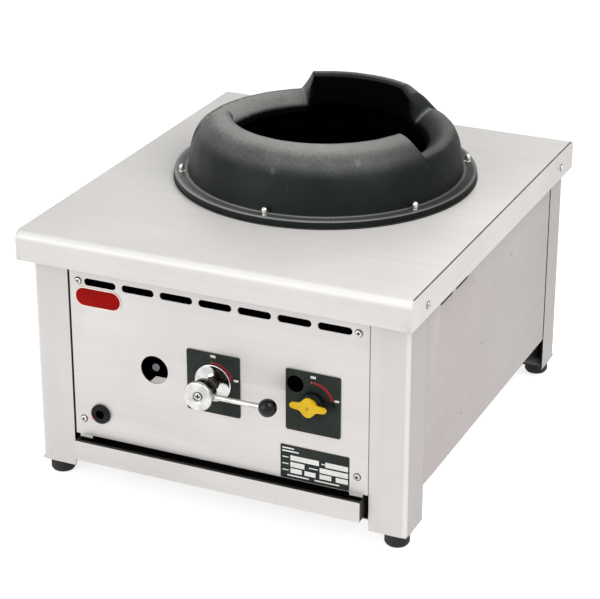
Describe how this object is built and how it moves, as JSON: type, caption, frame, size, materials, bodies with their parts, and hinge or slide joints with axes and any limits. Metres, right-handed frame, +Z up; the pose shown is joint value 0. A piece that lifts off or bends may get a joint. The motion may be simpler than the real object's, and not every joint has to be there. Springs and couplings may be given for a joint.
{
  "type": "table-top gas wok range",
  "caption": "Stainless table-top gas wok range: square worktop with a cast-iron wok ring and raised rear lip, lever valve, pilot handle, push igniter and slide-out drip tray.",
  "frame": {"origin": "on the floor, under the middle of the whole outline", "axes": "+X to the right seen from the front, +Y to the rear, +Z up; the controls face -Y"},
  "size_m": [0.6058, 0.743, 0.5021],
  "materials": {
    "stainless": "fine brushed stainless sheet, pale and slightly warm",
    "zinc": "zinc-plated steel, dull grey",
    "chrome": "bright chrome plate",
    "cast_iron": "dark green-grey enamel on rough cast iron, worn to a grey sheen on its crests",
    "brass": "machined brass",
    "copper": "drawn copper tube",
    "rubber": "black moulded rubber",
    "black_plastic": "glossy black phenolic",
    "yellow_plastic": "smooth bright yellow moulding",
    "dial_paint": "dark grey-green printed plate with white and dark red marks",
    "badge_paint": "glossy red enamel with a pale rim, bare of lettering",
    "steel_pipe": "grey painted steel pipe"
  },
  "bodies": {
    "casing": {"worktop": "stainless", "side_trim_left": "stainless", "side_trim_right": "stainless", "trim_screw_left_front": "zinc", "trim_screw_left_rear": "zinc", "trim_screw_right_front": "zinc", "trim_screw_right_rear": "zinc", "leg_left_front": "stainless", "leg_left_rear": "stainless", "leg_right_front": "stainless", "leg_right_rear": "stainless", "foot_left_front": "rubber", "foot_left_rear": "rubber", "foot_right_front": "rubber", "foot_right_rear": "rubber", "front_panel": "stainless", "panel_screw_left_low": "zinc", "panel_screw_left_high": "zinc", "panel_screw_right_low": "zinc", "panel_screw_right_high": "zinc", "left_panel": "stainless", "right_panel": "stainless", "rear_panel": "stainless", "wok_ring": "cast_iron", "ring_screw_1": "zinc", "ring_screw_2": "zinc", "ring_screw_3": "zinc", "ring_screw_4": "zinc", "ring_screw_5": "zinc", "ring_screw_6": "zinc", "fire_bowl": "zinc", "burner_body": "cast_iron", "burner_cap": "cast_iron", "burner_bridge": "zinc", "mixing_tube": "cast_iron", "main_valve": "brass", "injector": "brass", "pilot_valve": "brass", "gas_pipe": "steel_pipe", "pilot_feed": "copper", "pilot_burner": "copper", "dial_plate_main": "dial_paint", "dial_plate_pilot": "dial_paint", "escutcheon": "chrome", "igniter_body": "black_plastic", "badge_plate": "badge_paint", "nameplate": "dial_paint", "tray_rail_left": "zinc", "tray_rail_right": "zinc"},
    "main_lever": {"lever_hub": "chrome", "lever_disc": "chrome", "lever_rod": "chrome", "lever_ball": "black_plastic"},
    "pilot_handle": {"pilot_base": "black_plastic", "pilot_wing": "yellow_plastic"},
    "igniter_push": {"igniter_button": "black_plastic"},
    "shutter": {"air_shutter": "brass"},
    "tray": {"drip_tray": "stainless"}
  },
  "joints": [
    {"name": "main_lever_turn", "type": "hinge", "parent": "casing", "child": "main_lever", "pos_m": [-0.0035, -0.3585, 0.204], "axis": [0, -1, 0], "range_deg": [0, 90]},
    {"name": "pilot_turn", "type": "hinge", "parent": "casing", "child": "pilot_handle", "pos_m": [0.1485, -0.33, 0.204], "axis": [0, -1, 0], "range_deg": [0, 90]},
    {"name": "igniter_press", "type": "slide", "parent": "casing", "child": "igniter_push", "axis": [0, 1, 0], "range_m": [0, 0.004], "stiffness_N_per_m": 400},
    {"name": "shutter_turn", "type": "hinge", "parent": "casing", "child": "shutter", "pos_m": [-0.0035, -0.2185, 0.204], "axis": [0, 1, 0], "range_deg": [0, 60]},
    {"name": "tray_slide", "type": "slide", "parent": "casing", "child": "tray", "axis": [0, -1, 0], "range_m": [0, 0.28]}
  ]
}
